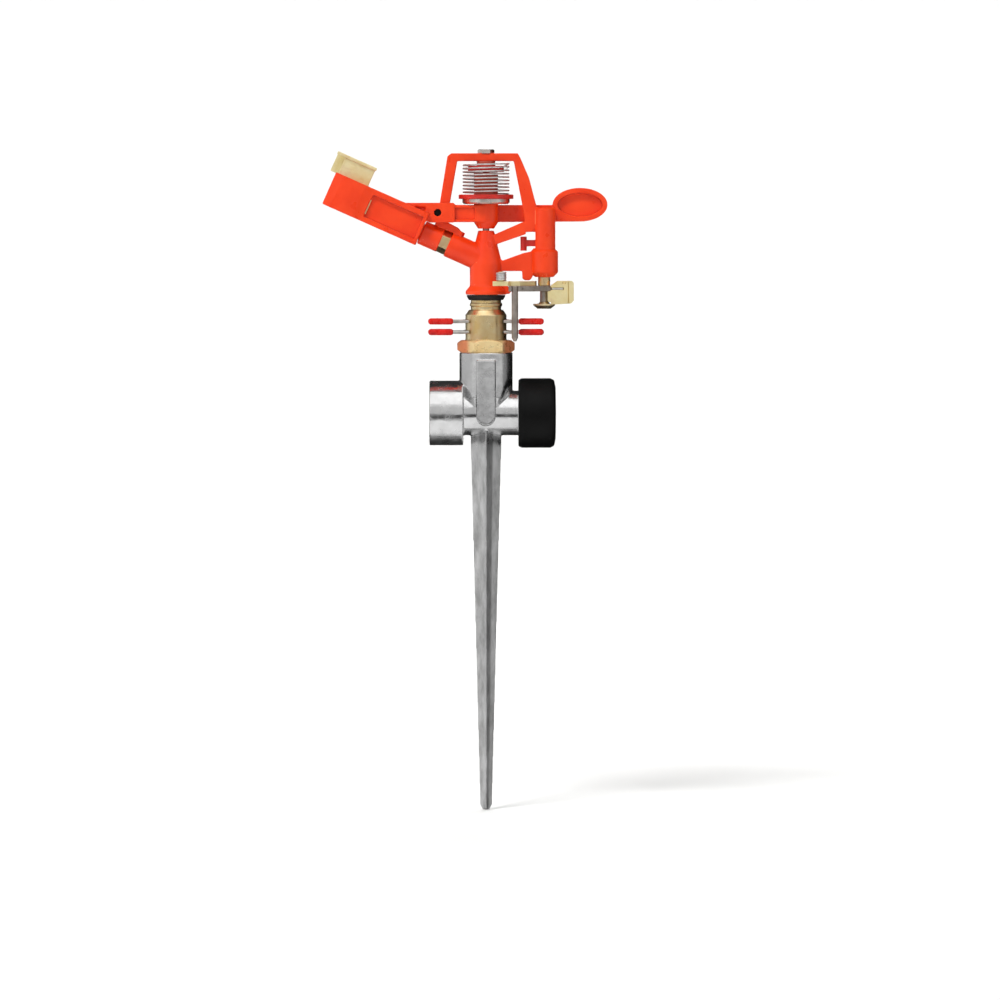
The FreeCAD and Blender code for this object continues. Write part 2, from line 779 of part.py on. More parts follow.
def make_tension_ring():
    """Ring with notches round its top edge, and the boss that seats it under the bridge."""
    body = new_body("tension_ring")
    turn(body, tube("ring_low", "ring_top", "ring_radius", "pin_radius"))
    turn(body, tube("ring_top-0.5", "bridge_low", "ring_boss_radius", "pin_radius"))
    notch = [("ring_radius-2.2", "-0.8"), ("ring_radius+1", "-0.8"), ("ring_radius+1", "0.8"),
             ("ring_radius-2.2", "0.8")]
    first = pocket(body, "XY_Plane", notch, "ring_low+1.1", "ring_top")
    pattern = body.newObject("PartDesign::PolarPattern", "notches")
    pattern.Originals = [first]
    pattern.Axis = (origin_plane(body, "Z_Axis"), [""])
    pattern.Angle = 360
    bind(pattern, Occurrences="ring_notches")
    body.Tip = pattern
    doc.recompute()
    keep(body, "tension_ring")


def make_trip_bush():
    body = turned_part("trip_bush", tube("bush_low", "housing_low", "bush_radius",
                                         "shaft_radius+0.06"))
    body.setExpression(".Placement.Base.x", formula("post_place"))


# ---- impact arm ----------------------------------------------------------------------------


def arm_bars():
    """Hub, the bar in front of the left leg and the bar behind the right one."""
    body = new_body("arm_bars")
    turn(body, [("0", "arm_hub_low"), ("arm_hub_low_radius", "arm_hub_low"),
                ("arm_hub_radius", "arm_bar_low"), ("arm_hub_radius", "arm_hub_top"),
                ("0", "arm_hub_top")])
    front = "(web_half+arm_clearance)"
    near = (f"-{front}-arm_bar_depth", f"-{front}")
    boss = (f"-{front}-boss_depth", f"-{front}")
    far = (front, f"{front}+arm_bar_depth")
    left_bar = [("-16", "arm_bar_low"), ("0", "arm_bar_low"), ("0", "arm_bar_top"),
                ("-16", "arm_bar_top")]
    node = [("-28.8", "282.6"), ("-26.6", "281.9"), ("-15.6", "281.9"), ("-14.9", "282.6"),
            ("-14.9", "290.6"), ("-15.6", "291.2"), ("-38.5", "291.2"), ("-36.5", "286.6")]
    right_bar = [("0", "arm_bar_low"), ("44.5", "arm_bar_low+0.3"), ("41", "287.4"),
                 ("34", "arm_bar_top"), ("0", "arm_bar_top")]
    pad(body, "XZ_Plane", left_bar, *near)
    pad(body, "XZ_Plane", node, *boss)
    pad(body, "XZ_Plane", right_bar, *far)
    rim = "arm_bar_rim"
    panel = [("-14.9", f"arm_bar_low+{rim}"), ("-5.2", f"arm_bar_low+{rim}"),
             ("-5.2", f"arm_bar_top-{rim}"), ("-14.9", f"arm_bar_top-{rim}")]
    pocket(body, "XZ_Plane", panel, near[0], f"{near[0]}+arm_web_depth")
    rear_panel = [("5.6", f"arm_bar_low+{rim}"), ("33", f"arm_bar_low+{rim}"),
                  ("33", f"arm_bar_top-{rim}"), ("5.6", f"arm_bar_top-{rim}")]
    pocket(body, "XZ_Plane", rear_panel, f"{far[1]}-arm_web_depth", far[1])
    hole = {"radius": "cross_hole_radius", "across": "-cross_hole_place",
            "up": "cross_hole_height"}
    pocket(body, "XZ_Plane", hole, *boss)
    gusset = [("-35.4", "289.8"), ("-34", "288"), ("-28.8", "287.4"), ("-28.8", "289.2")]
    pocket(body, "XZ_Plane", gusset, boss[0], f"{boss[0]}+arm_web_depth")
    return body


def arm_trough():
    """Channel along the jet: a web at the front, rims, and the solid block behind the vane."""
    body = new_body("arm_trough")
    low, high, rim = "-trough_low", "trough_high", "trough_rim"
    ends = ("trough_start", "trough_end")

    def band(first, last, bottom, top):
        return [(first, bottom), (last, bottom), (last, top), (first, top)]

    web = ("trough_web_back", "trough_web_front")
    rims = ("-trough_rim_back", "trough_rim_front")
    start = ends[0]
    pad(body, "XZ_Plane", band(*ends, low, high), *web)
    pad(body, "XZ_Plane", band(start, "block_start+1.2", f"{high}-{rim}", high), *rims)
    pad(body, "XZ_Plane", band(start, "block_start+1.2", low, f"{low}+{rim}-0.2"), *rims)
    pad(body, "XZ_Plane", band(start, "trough_start+1.6", low, high), web[1], rims[1])
    crown = [("block_start", "block_front-1.6"), ("block_start+5", "block_front-0.4"),
             ("block_start+11", "block_front"), ("trough_end-4", "block_front-0.3"),
             ("trough_end", "block_front-1.4"), ("trough_end", "trough_web_back"),
             ("block_start", "trough_web_back")]
    pad(body, "XY_Plane", crown, low, high)
    in_jet_frame(body)
    return body


def ellipse_slab(name, inset, near, far):
    """The dish's oval, drawn in by inset, between two depths."""
    oval = doc.addObject("Part::Ellipse", f"{name}_outline")
    bind(oval, MajorRadius=f"dish_half_length-{inset}", MinorRadius=f"dish_half_height-{inset}")
    oval.Placement.Rotation = Rotation(Vector(1, 0, 0), 90)
    for axis, text in zip("xyz", ("dish_place", near, "dish_height")):
        oval.setExpression(f".Placement.Base.{axis}", formula(text))
    slab = doc.addObject("Part::Extrusion", name)
    slab.Base = oval
    slab.DirMode = "Custom"
    slab.Dir = Vector(0, 1, 0)
    slab.Solid = True
    bind(slab, LengthFwd=f"({far})-({near})")
    doc.recompute()
    return slab


def make_impact_arm():
    back = "web_half+arm_clearance"
    dish = ellipse_slab("dish", "0", back, "dish_back")
    solid = fuse("arm_solid", [arm_bars(), arm_trough(), dish])
    bore = new_body("arm_bore")
    pad(bore, "XY_Plane", {"radius": "arm_bore_radius"}, "arm_hub_low-1", "arm_hub_top+1")
    hollow = ellipse_slab("dish_hollow", "dish_rim", f"{back}-1", "dish_floor")
    jet_slot = vane_slot()
    keep(cut("impact_arm", solid, fuse("arm_hollows", [bore, hollow, jet_slot])), "impact_arm")


def make_arm_plug():
    """Black plug pressed into the cross hole, a little below the face."""
    body = new_body("arm_plug")
    front = "(web_half+arm_clearance)"
    spot = {"radius": "cross_hole_radius", "across": "-cross_hole_place",
            "up": "cross_hole_height"}
    pad(body, "XZ_Plane", spot, f"-{front}-boss_depth+0.7", f"-{front}-0.4")
    keep(body, "arm_plug")


def make_arm_bush():
    turned_part("arm_bush", tube("arm_hub_low", "arm_hub_top", "arm_bore_radius",
                                 "pin_radius+arm_running_gap"))


def vane_section(start, end):
    """The scoop's section in the plane of the jet: flat root, then curving out of the jet."""
    root, out, sheet = "vane_root", "vane_turn_out", "vane_sheet"
    inner = [(start, root), ("vane_start+6.4", f"{root}-1.2"), ("vane_end-6", f"{root}-5"),
             (end, f"-{out}")]
    outer = [(f"{end}+0.4", f"-{out}+{sheet}"), ("vane_end-5.2", f"{root}-5+{sheet}"),
             ("vane_start+6.4", f"{root}-1.2+{sheet}"), (start, f"{root}+{sheet}")]
    return inner + outer


def vane_slit(half, low, high, near, far):
    """A strip across the block's inner end, where the vane's leading edge comes through."""
    outline = [(f"block_start-{half}", low), (f"block_start+{half}", low),
               (f"block_start+{half}", high), (f"block_start-{half}", high)]
    return outline, near, far


def vane_slot():
    body = new_body("vane_slot")
    outline, near, far = vane_slit("0.35", "-3.3", "4.5", "trough_web_back-1",
                                   "trough_rim_front+3")
    pad(body, "XZ_Plane", outline, near, far)
    in_jet_frame(body)
    return body


def make_drive_vane():
    """Brass scoop behind the block; its rim stands above the trough, its tongue fills the slit."""
    body = new_body("drive_vane")
    behind = vane_section("block_start+1.4", "trough_end-3.2")
    pad(body, "XY_Plane", behind, "-vane_low", "trough_high-0.4")
    root = [("vane_root_start", "vane_root"), ("block_start+1.5", "vane_root"),
            ("block_start+1.5", "vane_root+vane_sheet"), ("vane_root_start", "vane_root+vane_sheet")]
    pad(body, "XY_Plane", root, "-trough_low+trough_rim", "trough_high-trough_rim-0.2")
    pad(body, "XY_Plane", vane_section("vane_start", "vane_end"), "trough_high-0.4", "vane_high")
    foot = [("vane_start", "vane_root"), ("trough_end-1", "vane_root"),
            ("trough_end-1", "trough_web_back"), ("vane_start", "trough_web_back")]
    pad(body, "XY_Plane", foot, "trough_high-3.4", "vane_high")
    rim = [("vane_start+0.6", "vane_root-3"), ("vane_end+0.4", "vane_root-3"),
           ("vane_end+0.4", "trough_web_back+1.1"), ("vane_start-0.6", "trough_web_back+1.1")]
    pad(body, "XY_Plane", rim, "vane_high-vane_rim", "vane_high")
    tongue, near, far = vane_slit("0.3", "-3.1", "4.3", "vane_root+0.4", "trough_web_front+0.4")
    pad(body, "XZ_Plane", tongue, near, far)
    in_jet_frame(body)
    keep(body, "drive_vane")


def make_spring_spool():
    bore = "pin_radius+0.15"
    turned_part("spring_spool", [
        (bore, "arm_hub_top"), ("spool_spigot_radius", "arm_hub_top"),
        ("spool_spigot_radius", "spool_flange_low"), ("spool_flange_radius", "spool_flange_low"),
        ("spool_flange_radius", "spool_flange_top"), ("spool_sleeve_radius", "spool_flange_top"),
        ("spool_sleeve_radius", "spool_top"), (bore, "spool_top")])


def make_spring_cup():
    low, rim = "arm_hub_top", "spool_flange_low"
    bore = "spool_spigot_radius+0.05"
    turned_part("spring_cup", [(bore, low), ("cup_radius-0.8", low), ("cup_radius", f"{low}+0.8"),
                               ("cup_radius", rim), ("cup_radius-0.8", rim),
                               ("cup_radius-0.8", f"{low}+0.8"), (bore, f"{low}+0.8")])


def make_arm_spring():
    coil("arm_spring", "arm_spring_radius", "arm_spring_wire", "spool_flange_top",
         "arm_spring_top", "arm_spring_turns")


# ---- reversing trip ------------------------------------------------------------------------


def on_shaft(body):
    body.setExpression(".Placement.Base.x", formula("post_place"))
    return body


def make_trip_shaft():
    on_shaft(turned_part("trip_shaft", [
        ("0", "shaft_low"), ("shaft_radius-0.3", "shaft_low"),
        ("shaft_radius", "shaft_low+0.4"), ("shaft_radius", "shaft_top"), ("0", "shaft_top")]))


def lever_plan():
    """From the shaft forward past the tower, then across in front of it."""
    return [("post_place-3", "3.4"), ("post_place+3", "3.4"), ("post_place+3.6", "-3"),
            ("trip_pin_place+2.6", "-lever_front"), ("trip_pin_place-3", "-lever_front"),
            ("trip_pin_place-3", "-lever_back"), ("trip_pin_place+1.6", "-8.6")]


def make_trip_lever():
    """Plate on the shaft with a fork for the trip pin."""
    body = new_body("trip_lever")
    pad(body, "XY_Plane", lever_plan(), "lever_low", "lever_top")
    near, far = "trip_pin_place-trip_pin_radius-fork_gap", "trip_pin_place+trip_pin_radius+fork_gap"
    fork = [(near, "-lever_front-1"), (far, "-lever_front-1"), (far, "-lever_back"),
            (near, "-lever_back")]
    pocket(body, "XY_Plane", fork, "lever_low", "lever_top")
    bore = {"radius": "shaft_radius", "across": "post_place"}
    pocket(body, "XY_Plane", bore, "lever_low", "lever_top")
    axle = {"radius": "trip_axle_radius", "across": "-trip_pin_front", "up": "trip_pin_pivot"}
    pocket(body, "YZ_Plane", axle, "trip_pin_place-4", "trip_pin_place+4")
    keep(body, "trip_lever")


def make_trip_link():
    """Brass strip on the lever with a stud for the toggle spring."""
    body = new_body("trip_link")
    plan = [("post_place-3.6", "1.6"), ("post_place-4.4", "-3.4"), ("trip_pin_place+2.4", "-10.8"),
            ("11.8", "-11"), ("10.6", "-lever_front+0.3"), ("3.2", "-lever_front+0.3"),
            ("3.2", "-lever_back-0.2"), ("10", "-lever_back-0.2"), ("trip_pin_place+1.2", "-9")]
    pad(body, "XY_Plane", plan, "lever_top", "link_top")
    stud = {"radius": "stud_radius", "across": "stud_place", "up": "-stud_front"}
    pad(body, "XY_Plane", stud, "lever_top", "stud_top")
    keep(body, "trip_link")


def make_trip_spacer():
    on_shaft(turned_part("trip_spacer", tube("spacer_low", "lever_low", "spacer_radius",
                                             "shaft_radius")))


def make_trip_washer():
    """Domed washer under the spacer."""
    on_shaft(turned_part("trip_washer", [
        ("shaft_radius", "trip_washer_low+0.8"), ("trip_washer_radius*0.6", "trip_washer_low+0.2"),
        ("trip_washer_radius", "trip_washer_low+1.8"),
        ("trip_washer_radius", "trip_washer_low+2.5"), ("spacer_radius+1", "trip_washer_low+2.2"),
        ("spacer_radius+0.2", "spacer_low"),
        ("shaft_radius", "spacer_low")]))


def make_swing_weight():
    """Faceted block beside the shaft, slotted at the front for the wire leg."""
    body = new_body("swing_weight")
    plan = [("weight_near", "spacer_low+0.4"), ("31.6", "242.6"), ("40.8", "243.2"),
            ("weight_far", "244.5"), ("weight_far", "252.9"), ("41.2", "253.9"),
            ("34.2", "253.9"), ("weight_near", "250.6")]
    pad(body, "XZ_Plane", plan, "-weight_half", "weight_half")
    slot = [("28", "weight_slot_low"), ("leg_end+0.5", "weight_slot_low"),
            ("leg_end+0.5", "weight_slot_low+leg_wire"), ("28", "weight_slot_low+leg_wire")]
    pocket(body, "XZ_Plane", slot, "-weight_half", "-weight_half+1.4")
    notch = [("36.6", "252.4"), ("38.3", "252.4"), ("38.7", "256"), ("36.2", "256")]
    pocket(body, "XZ_Plane", notch, "-weight_half", "-1")
    groove = [("38.9", "-weight_half-1"), ("40.1", "-weight_half-1"), ("39.5", "-weight_half+0.9")]
    pocket(body, "XY_Plane", groove, "242", "255")
    washer_room = {"radius": "trip_washer_radius+0.05", "across": "post_place"}
    pocket(body, "XY_Plane", washer_room, "trip_washer_low", "spacer_low+0.05")
    relief = {"radius": "spacer_radius+0.05", "across": "post_place"}
    pocket(body, "XY_Plane", relief, "spacer_low", "lever_low")
    plate_room = {"radius": "5.8", "across": "post_place-1"}
    pocket(body, "XY_Plane", plate_room, "lever_low", "lever_top+0.1")
    keep(body, "swing_weight")


def make_spring_leg():
    """Straight wire from beside the lever's hub into the weight's slot."""
    body = new_body("spring_leg")
    depth = "-weight_half+leg_wire/2+0.1"
    spot = {"radius": "leg_wire/2-0.02", "across": depth, "up": "weight_slot_low+leg_wire/2"}
    pad(body, "YZ_Plane", spot, "post_place+3.9", "leg_end")
    keep(body, "spring_leg")


def make_toggle_spring():
    coil("toggle_spring", "toggle_coil_radius", "toggle_wire", "link_top", "stud_top",
         "toggle_turns", across="stud_place", along="-stud_front")


def make_reversing_latch():
    """Hub on the shaft, a finger through the post's window and an upright rod."""
    body = new_body("reversing_latch")
    pad(body, "XY_Plane", {"radius": "shaft_radius+1.3", "across": "post_place"}, "latch_low",
        "latch_top")
    finger = [("latch_reach", "0.4"), ("post_place", "-0.4"), ("post_place", "2"),
              ("latch_reach", "2.6")]
    pad(body, "XY_Plane", finger, "latch_low", "latch_top")
    rod = {"radius": "latch_rod_radius", "across": "latch_reach", "up": "1.5"}
    pad(body, "XY_Plane", rod, "latch_low-2.1", "latch_top+1.6")
    pocket(body, "XY_Plane", {"radius": "shaft_radius", "across": "post_place"}, "latch_low",
           "latch_top")
    keep(body, "reversing_latch")


def make_trip_axle():
    body = new_body("trip_axle")
    spot = {"radius": "trip_axle_radius", "across": "-trip_pin_front", "up": "trip_pin_pivot"}
    pad(body, "YZ_Plane", spot, "trip_pin_place-2.5", "trip_pin_place+2.5")
    keep(body, "trip_axle")


def make_trip_pin():
    """Straight pin with a pointed tip, hung on the axle across its top."""
    body = turned_part("trip_pin", [
        ("0", "trip_pin_low"), ("0.6", "trip_pin_low"), ("trip_pin_radius", "trip_pin_low+1.6"),
        ("trip_pin_radius", "trip_pin_top"), ("0", "trip_pin_top")])
    body.setExpression(".Placement.Base.x", formula("trip_pin_place"))
    body.setExpression(".Placement.Base.y", formula("-trip_pin_front"))
    hole = {"radius": "trip_axle_radius+0.05", "up": "trip_pin_pivot"}
    pocket(body, "YZ_Plane", hole, "-2", "2")


# ---- build, check and write ----------------------------------------------------------------


def check_document():
    """Stops if any object failed, or any sub-part is empty or not valid."""
    for thing in doc.Objects:
        if {"Invalid", "Error"} & set(thing.State):
            raise ValueError(f"{thing.Name} ({thing.TypeId}) is {thing.State}")
    for part in sub_parts:
        if part.Shape.isNull() or not part.Shape.isValid():
            raise ValueError(f"{part.Label} has no valid shape")


def write_sub_parts():
    os.makedirs("parts", exist_ok=True)
    for part in sub_parts:
        part.Shape.exportStep(f"parts/{part.Label}.step")


def main():
    fill_sheet()
    make_spike_body()
    make_inlet_washer()
    make_bearing_nipple()
    make_top_seal()
    make_end_cap()
    make_cap_washer()
    make_clip("upper_clip", "clip_upper_height")
    make_clip("lower_clip", "clip_lower_height")
    make_head_casting()
    make_bearing_sleeve()
    make_sleeve_washer()
    make_pressure_spring()
    make_nozzle()
    make_nozzle_nut()
    make_fulcrum_pin()
    make_pin_nut()
    make_tension_ring()
    make_trip_bush()
    make_impact_arm()
    make_arm_bush()
    make_arm_plug()
    make_drive_vane()
    make_spring_spool()
    make_spring_cup()
    make_arm_spring()
    make_trip_shaft()
    make_trip_lever()
    make_trip_link()
    make_trip_spacer()
    make_trip_washer()
    make_swing_weight()
    make_spring_leg()
    make_toggle_spring()
    make_reversing_latch()
    make_trip_axle()
    make_trip_pin()
    doc.recompute()
    check_document()
    write_sub_parts()


main()
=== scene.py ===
import json
import math

import bmesh
import bpy
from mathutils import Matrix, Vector


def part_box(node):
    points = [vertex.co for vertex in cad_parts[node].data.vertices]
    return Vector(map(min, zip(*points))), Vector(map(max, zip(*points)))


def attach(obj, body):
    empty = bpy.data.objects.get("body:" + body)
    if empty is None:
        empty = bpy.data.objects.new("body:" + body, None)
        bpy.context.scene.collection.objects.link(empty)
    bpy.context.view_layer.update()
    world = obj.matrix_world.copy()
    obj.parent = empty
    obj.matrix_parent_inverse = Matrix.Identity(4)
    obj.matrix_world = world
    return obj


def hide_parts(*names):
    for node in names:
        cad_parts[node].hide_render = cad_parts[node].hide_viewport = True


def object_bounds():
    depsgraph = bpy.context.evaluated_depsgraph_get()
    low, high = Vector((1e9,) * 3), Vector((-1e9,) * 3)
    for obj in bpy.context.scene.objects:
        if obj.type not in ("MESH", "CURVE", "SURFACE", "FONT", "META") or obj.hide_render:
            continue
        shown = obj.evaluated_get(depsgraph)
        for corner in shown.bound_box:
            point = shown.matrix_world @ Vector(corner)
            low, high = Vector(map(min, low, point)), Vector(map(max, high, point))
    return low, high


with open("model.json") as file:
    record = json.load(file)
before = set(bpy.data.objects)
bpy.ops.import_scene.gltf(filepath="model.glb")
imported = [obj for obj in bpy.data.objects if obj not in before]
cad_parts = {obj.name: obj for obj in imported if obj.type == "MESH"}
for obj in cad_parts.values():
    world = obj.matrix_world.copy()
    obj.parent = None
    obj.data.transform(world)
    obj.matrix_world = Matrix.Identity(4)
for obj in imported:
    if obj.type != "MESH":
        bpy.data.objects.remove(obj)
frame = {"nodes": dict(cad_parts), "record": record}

MM = 0.001
CAD_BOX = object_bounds()
NODES = frame["nodes"]
BODIES = frame["record"]["behaviour"]["bodies"]
BODY_OF = {held: body for body, nodes in BODIES.items() for held in nodes}
SLOT_OF = {row["node"]: row["material_slot"] for row in frame["record"]["subparts"]}

# An impact sprinkler on a ground spike. The spike's tip is the origin, Z is up, the hose line runs
# along X and the nozzle points to -X. Distances are in metres unless a name ends in _mm.

# ---- camera, floor and light ---------------------------------------------------------------

VIEW_CENTRE = Vector((6.7, 0.0, 148.8)) * MM
VIEW_WIDTH = 480 * MM
VIEW_DISTANCE = 3.0
VIEW_ELEVATION = math.radians(2.5)
SENSOR_MM = 36
FAR_CLIP = 100

# the floor is a disc that curves up into a round wall
FLOOR_COLOUR = "#f6f6f5"
FLOOR_ROUGHNESS = 0.9
FLOOR_RADIUS = 5.0
CURVE_RADIUS = 2.0
CURVE_STEPS = 6
WALL_TOP = 6.0
FLOOR_SIDES = 72
FLOOR_GAP = 0.2 * MM
MERGE_DISTANCE = 1e-5

WORLD_STRENGTH = 0.21
LIT_HEIGHT = 0.25
LAMP_DISTANCE = 3.0

# soft lamps round the object: size, bearing and height in degrees, watts
LAMPS = {
    "key_lamp": ((0.8, 0.6), -32, 50, 57),
    "left_lamp": ((1.0, 2.0), -50, 15, 7),
    "right_lamp": ((0.8, 2.0), 62, 15, 5),
    "rear_lamp": ((2.0, 1.0), 170, 50, 22),
}
WALL_LAMP_SIZE = (5.0, 2.0)
WALL_LAMP_WATTS = 205
WALL_LAMP_PLACE = (0, 2.6, 4.6)
WALL_LAMP_TILT = math.radians(38)

# what the polished metal mirrors: bearings and heights in degrees, brightness, distance
PANELS = {
    "top_panel": ((-60, 60), (30, 82), 1.35, 2.6),
    "left_panel": ((-62, -27), (-6, 28), 0.8, 2.6),
    "right_panel": ((42, 78), (-6, 28), 0.66, 2.6),
    "camera_flag": ((-60, 60), (-22, -6), 0.05, 2.6),
    "floor_panel": ((-60, 60), (-85, -23), 0.95, 2.6),
    "rear_right_flag": ((98, 182), (-40, 60), 0.008, 2.3),
    "rear_left_flag": ((-178, -135), (-40, 60), 0.05, 2.3),
    "rear_top_flag": ((130, 230), (25, 70), 0.03, 2.4),
    "rear_low_flag": ((130, 230), (-75, -8), 0.03, 2.4),
    "camera_panel": ((-60, 60), (-8, 34), 0.62, 2.8),
    "left_side_panel": ((-133, -58), (-40, 50), 0.58, 2.8),
    "right_side_panel": ((74, 104), (-40, 50), 0.25, 2.8),
    "top_side_panel": ((-60, 60), (76, 112), 0.1, 2.8),
}


def add_camera():
    """A long lens, so that the object is drawn almost without perspective."""
    data = bpy.data.cameras.new("camera")
    data.sensor_width = SENSOR_MM
    data.lens = SENSOR_MM * VIEW_DISTANCE / VIEW_WIDTH
    data.clip_end = FAR_CLIP
    camera = bpy.data.objects.new("camera", data)
    bpy.context.scene.collection.objects.link(camera)
    back = Vector((0, -math.cos(VIEW_ELEVATION), math.sin(VIEW_ELEVATION)))
    camera.location = VIEW_CENTRE + back * VIEW_DISTANCE
    camera.rotation_euler = (math.pi / 2 - VIEW_ELEVATION, 0, 0)
    bpy.context.scene.camera = camera


add_camera()


def linear(code):
    """An sRGB hex colour as the linear RGBA that the shaders take."""
    parts = [int(code[at:at + 2], 16) / 255 for at in (1, 3, 5)]
    return [p / 12.92 if p <= 0.04045 else ((p + 0.055) / 1.055) ** 2.4 for p in parts] + [1.0]


def node(tree, kind, links=None, **settings):
    """Adds a node. Settings are attributes; links are {input: value, hex colour or a socket}."""
    made = tree.nodes.new(kind)
    for name, value in settings.items():
        setattr(made, name, value)
    for name, value in (links or {}).items():
        if isinstance(value, bpy.types.NodeSocket):
            tree.links.new(value, made.inputs[name])
        else:
            made.inputs[name].default_value = linear(value) if isinstance(value, str) else value
    return made


def new_object(name, mesh):
    """Puts a mesh or curve into the scene under that name."""
    made = bpy.data.objects.new(name, mesh)
    bpy.context.scene.collection.objects.link(made)
    return made


def aim(thing, azimuth, elevation, distance):
    """Puts a panel or lamp round the object, facing it; azimuth 0 is behind the camera."""
    az, el = math.radians(azimuth), math.radians(elevation)
    way = Vector((math.sin(az) * math.cos(el), -math.cos(az) * math.cos(el), math.sin(el)))
    thing.location = Vector((0, 0, LIT_HEIGHT)) + way * distance
    thing.rotation_euler = way.to_track_quat("Z", "Y").to_euler()
    thing.visible_camera = False


def panel(name, azimuths, elevations, brightness, distance):
    """A glowing or dark panel between two bearings and two heights, which only polish mirrors."""
    material = bpy.data.materials.new(name)
    material.use_nodes = True
    material.node_tree.nodes.clear()
    glow = node(material.node_tree, "ShaderNodeEmission", {"Strength": brightness})
    node(material.node_tree, "ShaderNodeOutputMaterial", {"Surface": glow.outputs[0]})
    w = distance * math.tan(math.radians(azimuths[1] - azimuths[0]) / 2)
    h = distance * math.tan(math.radians(elevations[1] - elevations[0]) / 2)
    mesh = bpy.data.meshes.new(name)
    mesh.from_pydata([(-w, -h, 0), (w, -h, 0), (w, h, 0), (-w, h, 0)], [], [(0, 1, 2, 3)])
    mesh.materials.append(material)
    made = new_object(name, mesh)
    aim(made, sum(azimuths) / 2, sum(elevations) / 2, distance)
    made.visible_diffuse = False
    made.visible_shadow = False


def softbox(name, size, azimuth, elevation, watts):
    """A soft lamp for the painted and moulded surfaces, which the polished ones don't mirror."""
    data = bpy.data.lights.new(name, "AREA")
    data.shape = "RECTANGLE"
    data.size, data.size_y = size
    data.energy = watts
    lamp = bpy.data.objects.new(name, data)
    bpy.context.scene.collection.objects.link(lamp)
    aim(lamp, azimuth, elevation, LAMP_DISTANCE)
    lamp.visible_glossy = False
    return lamp


def add_floor():
    """A pale floor that curves up into a pale wall all round."""
    mesh = bpy.data.meshes.new("floor")
    work = bmesh.new()
    bends = [math.radians(90 * step / CURVE_STEPS) for step in range(1, CURVE_STEPS + 1)]
    profile = [(0.0, 0.0), (FLOOR_RADIUS, 0.0)]
    profile += [(FLOOR_RADIUS + CURVE_RADIUS * math.sin(bend),
                 CURVE_RADIUS - CURVE_RADIUS * math.cos(bend)) for bend in bends]
    profile += [(FLOOR_RADIUS + CURVE_RADIUS, WALL_TOP)]
    points = [work.verts.new((radius, 0, height)) for radius, height in profile]
    edges = [work.edges.new(pair) for pair in zip(points, points[1:])]
    bmesh.ops.spin(work, geom=points + edges, cent=(0, 0, 0), axis=(0, 0, 1),
                   angle=math.tau, steps=FLOOR_SIDES, use_duplicate=False)
    bmesh.ops.remove_doubles(work, verts=work.verts, dist=MERGE_DISTANCE)
    bmesh.ops.recalc_face_normals(work, faces=work.faces)
    for face in work.faces:
        face.smooth = True
    work.to_mesh(mesh)
    work.free()
    material = bpy.data.materials.new("pale_floor")
    material.use_nodes = True
    shader = material.node_tree.nodes["Principled BSDF"]
    shader.inputs["Base Color"].default_value = linear(FLOOR_COLOUR)
    shader.inputs["Roughness"].default_value = FLOOR_ROUGHNESS
    mesh.materials.append(material)
    floor = new_object("floor", mesh)
    floor.location.z = CAD_BOX[0][2] - FLOOR_GAP
    floor.visible_glossy = False


def add_light():
    """Soft lamps for the paint, glowing panels for the metal and a lamp that washes the wall."""
    world = bpy.data.worlds.new("studio")
    bpy.context.scene.world = world
    world.use_nodes = True
    world.node_tree.nodes["Background"].inputs["Color"].default_value = linear("#ffffff")
    world.node_tree.nodes["Background"].inputs["Strength"].default_value = WORLD_STRENGTH
    bpy.context.scene.view_settings.view_transform = "Standard"
    for name, (size, azimuth, elevation, watts) in LAMPS.items():
        softbox(name, size, azimuth, elevation, watts)
    wash = softbox("wall_lamp", WALL_LAMP_SIZE, 180, 60, WALL_LAMP_WATTS)
    wash.location = WALL_LAMP_PLACE
    wash.rotation_euler = (WALL_LAMP_TILT, 0, 0)
    for name, (azimuths, elevations, brightness, distance) in PANELS.items():
        panel(name, azimuths, elevations, brightness, distance)


add_floor()
add_light()

# ---- materials -----------------------------------------------------------------------------

# parts of a grain's range, which gathers round 0.5
MOST = (0.3, 0.7)
MIDDLE = (0.35, 0.65)
# how far the form turns: 0.5 is flat, less is an inside corner and more is an outer edge
TURNED_IN = (0.42, 0.49)
TURNED_OUT = (0.53, 0.62)
SHARPLY_OUT = (0.54, 0.66)
FADING = (1, 0)

SLEEVE_RADIUS_MM = 5.9
SLEEVE_BLEND_MM = 0.3
SPIKE_TOP_MM = 170
SPIKE_BLEND_MM = 16
SPIKE_EXTRA_ROUGHNESS = 0.16
# the hexagon's side flats lie this far out along X; they take this much painted reflection of the
# red paint
HEXAGON_RED_REFLECTION_MM = (7.5, 9.5)
HEXAGON_RED_REFLECTION_SHARE = 0.8

# the colour sockets of a Mix node, which share their names with its other sockets
MIX_SHARE, MIX_UNDER, MIX_OVER, MIX_RESULT = 0, 6, 7, 2


